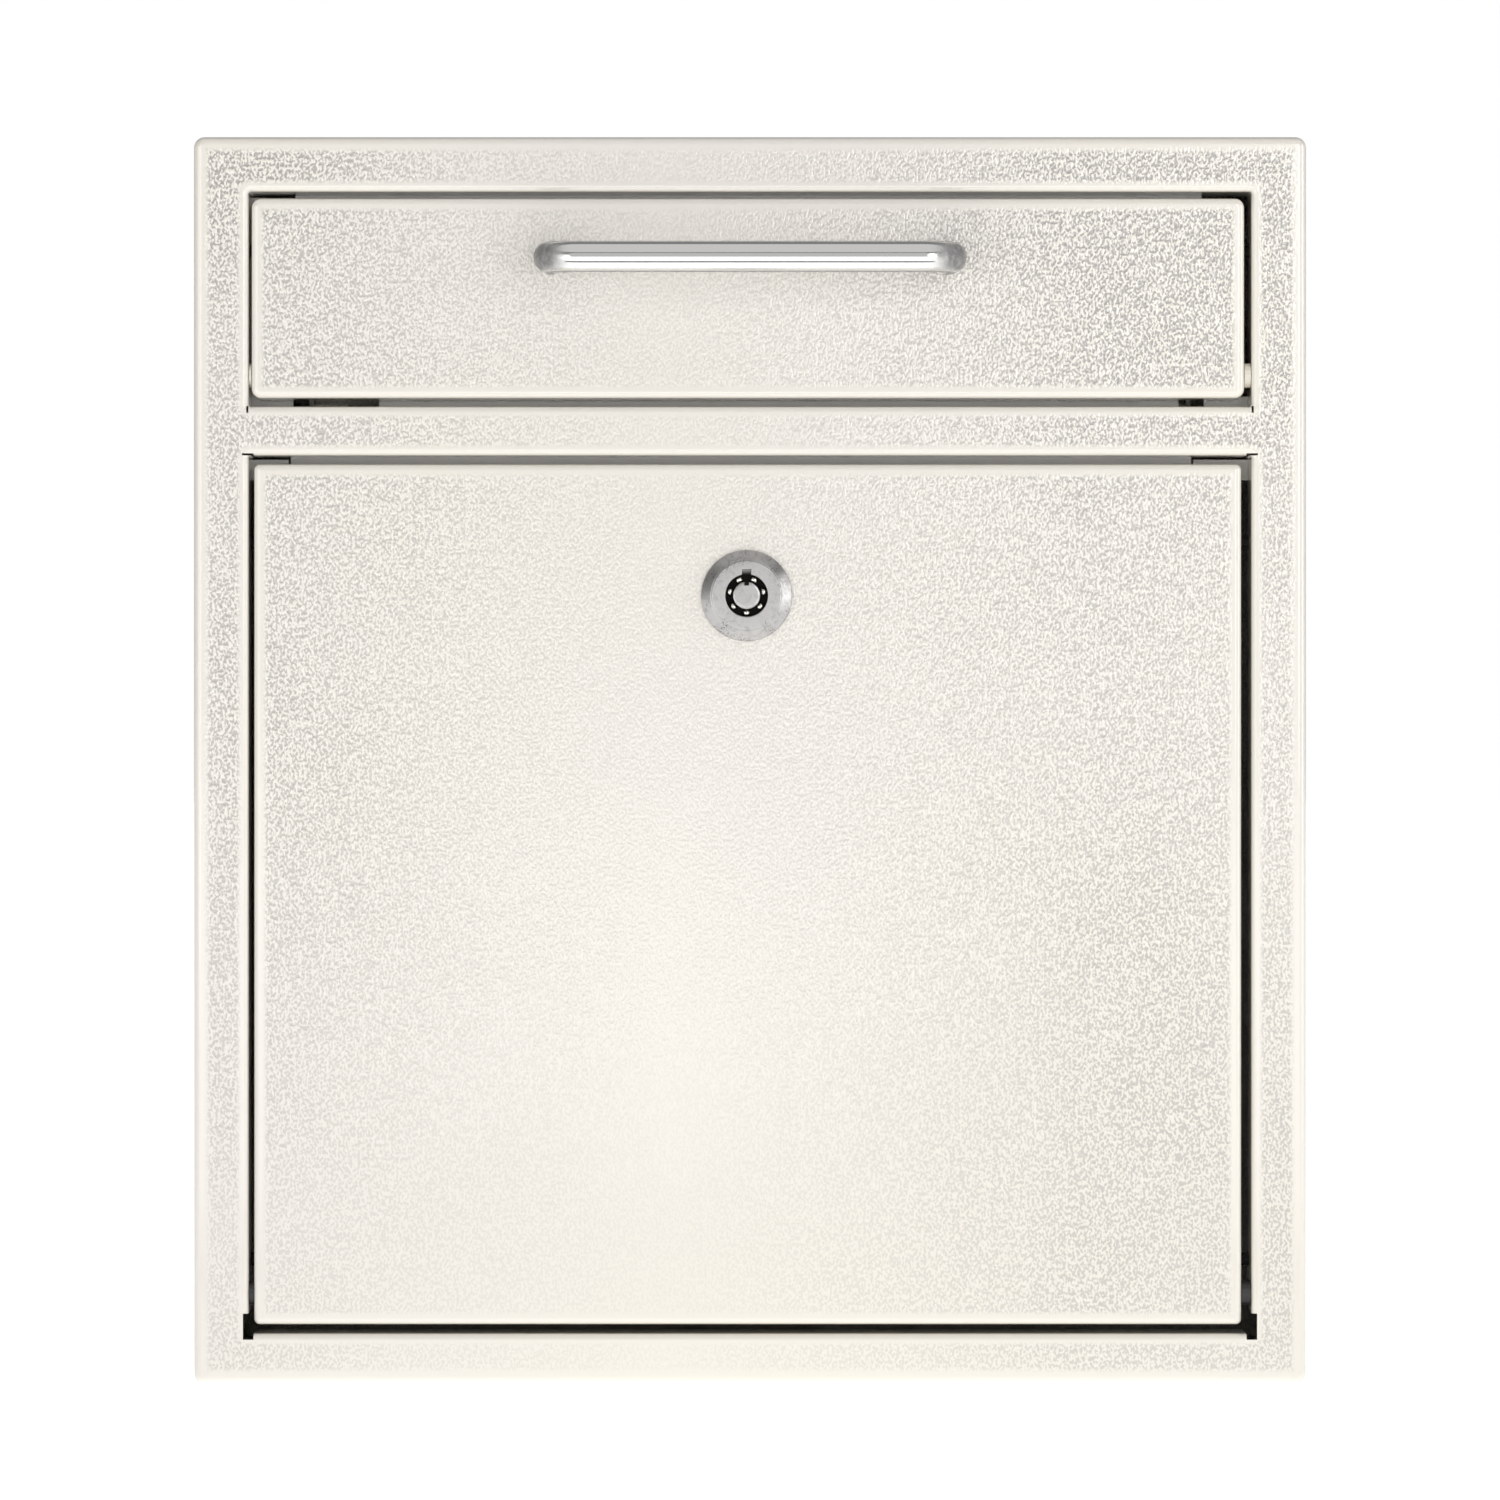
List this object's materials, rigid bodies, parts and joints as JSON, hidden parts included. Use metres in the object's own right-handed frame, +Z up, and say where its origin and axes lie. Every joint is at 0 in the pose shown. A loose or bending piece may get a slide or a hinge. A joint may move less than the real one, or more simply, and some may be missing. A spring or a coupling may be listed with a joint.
{
  "type": "wall-mount parcel drop box",
  "caption": "Cream steel drop box for letters and small parcels: pull-down deposit hopper with a chrome wire pull, above a locked door that swings down for collection.",
  "frame": {"origin": "middle of the footprint on the surface below the box: centre of the bounding box in X and Y, and its bottom in Z", "axes": "+Z up, the front with the hopper and the door faces -Y, the wall face looks along +Y, +X is to the right of someone facing the front"},
  "size_m": [0.264, 0.145, 0.296],
  "materials": {
    "powder_coat": "cream hammertone powder coat, semi-gloss, on 1.2 mm steel",
    "bright_chrome": "polished chrome plate",
    "lock_nickel": "satin nickel and chrome plate",
    "zinc_steel": "bright zinc plate",
    "nickel_silver": "turned nickel silver",
    "black_rubber": "moulded, matt",
    "white_nylon": "moulded, natural",
    "black_nylon": "moulded, black"
  },
  "bodies": {
    "cabinet": {"front_frame": "powder_coat", "body_wrap": "powder_coat", "back_panel": "powder_coat", "security_baffle": "powder_coat", "hopper_pivot_pin_left": "zinc_steel", "hopper_pivot_pin_right": "zinc_steel", "hopper_stop_left": "black_rubber", "hopper_stop_right": "black_rubber", "door_hinge_pin_left": "zinc_steel", "door_hinge_pin_right": "zinc_steel", "door_stop_left": "black_rubber", "door_stop_right": "black_rubber", "door_open_stop_left": "black_rubber", "door_open_stop_right": "black_rubber"},
    "hopper": {"hopper_panel": "powder_coat", "hopper_tray": "powder_coat", "hopper_cheek_left": "powder_coat", "hopper_cheek_right": "powder_coat", "hopper_pivot_washer_left": "white_nylon", "hopper_pivot_washer_right": "white_nylon", "handle": "bright_chrome", "handle_washer_left": "zinc_steel", "handle_washer_right": "zinc_steel", "handle_screw_left": "zinc_steel", "handle_screw_right": "zinc_steel"},
    "door": {"door_panel": "powder_coat", "door_hinge_washer_left": "black_nylon", "door_hinge_washer_right": "black_nylon", "lock_body": "lock_nickel", "lock_tooth_washer": "zinc_steel", "lock_nut": "zinc_steel"},
    "lock_core": {"lock_plug": "lock_nickel", "lock_stop_washer": "zinc_steel", "lock_cam": "zinc_steel", "lock_cam_nut": "zinc_steel", "lock_pin_1": "nickel_silver", "lock_pin_2": "nickel_silver", "lock_pin_3": "nickel_silver", "lock_pin_4": "nickel_silver", "lock_pin_5": "nickel_silver", "lock_pin_6": "nickel_silver", "lock_pin_7": "nickel_silver"}
  },
  "joints": [
    {"name": "hopper_tilt", "type": "hinge", "parent": "cabinet", "child": "hopper", "pos_m": [0, -0.0405, 0.2395], "axis": [1, 0, 0], "range_deg": [0, 50]},
    {"name": "door_swing", "type": "hinge", "parent": "cabinet", "child": "door", "pos_m": [0, -0.0405, 0.0215], "axis": [1, 0, 0], "range_deg": [0, 90]},
    {"name": "lock_turn", "type": "hinge", "parent": "door", "child": "lock_core", "pos_m": [-0.0008, -0.0405, 0.1871], "axis": [0, 1, 0], "range_deg": [0, 90]}
  ]
}
